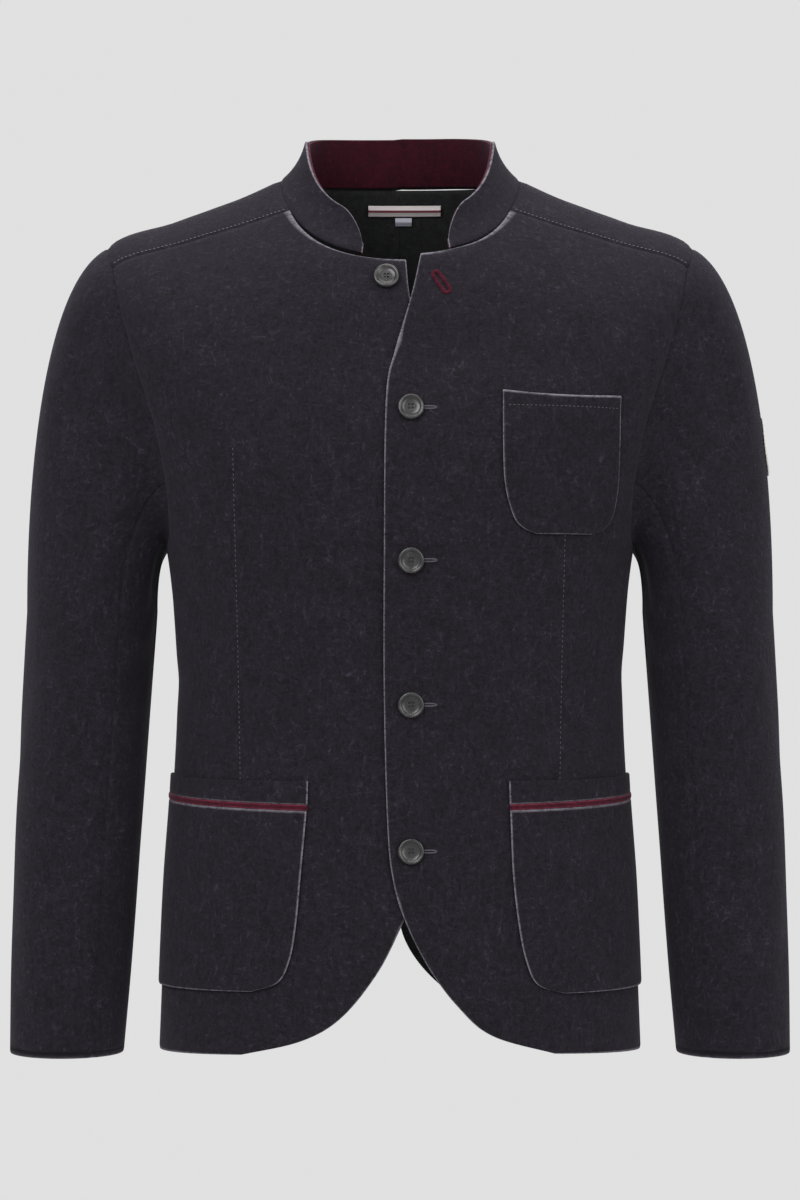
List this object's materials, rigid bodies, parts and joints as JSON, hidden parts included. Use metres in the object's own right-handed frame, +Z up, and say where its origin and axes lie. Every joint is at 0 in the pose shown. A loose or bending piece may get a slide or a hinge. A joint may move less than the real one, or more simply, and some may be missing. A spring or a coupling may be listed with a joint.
{
  "type": "tyrolean loden jacket",
  "caption": "Hollow stand-collar jacket of boiled wool with lapped button front, patch pockets, wine-red felt trim and rounded front hem.",
  "frame": {"origin": "middle of the neck, level with the foot of the collar at the shoulders, where the wearer's neck and shoulders hold the jacket", "axes": "+Z up, the front faces -Y, the wearer's left is +X"},
  "size_m": [0.6318, 0.2664, 0.7551],
  "materials": {
    "wool": "charcoal melange boiled wool, fuzzy and matt",
    "felt": "wine-red wool felt, matt, cut edges raw",
    "tape": "pale woven tape, bare, slight sheen",
    "badge": "grey-green woven round patch with a pale rim, bare",
    "horn": "dark horn-like button, polished rim, dished middle"
  },
  "bodies": {
    "root": {"front_right": "wool", "front_left": "wool", "back_right": "wool", "back_left": "wool", "sleeve_right_top": "wool", "sleeve_right_under": "wool", "sleeve_left_top": "wool", "sleeve_left_under": "wool", "hip_band_right": "wool", "hip_band_left": "wool", "hip_pocket_right": "wool", "hip_pocket_left": "wool", "chest_pocket": "wool", "collar_outer": "wool", "collar_facing": "felt", "hip_piping_right": "felt", "hip_piping_left": "felt", "bound_buttonhole": "felt", "neck_label": "tape", "size_tag": "tape", "sleeve_badge": "badge", "button_1": "horn", "button_2": "horn", "button_3": "horn", "button_4": "horn", "button_5": "horn"}
  },
  "joints": []
}
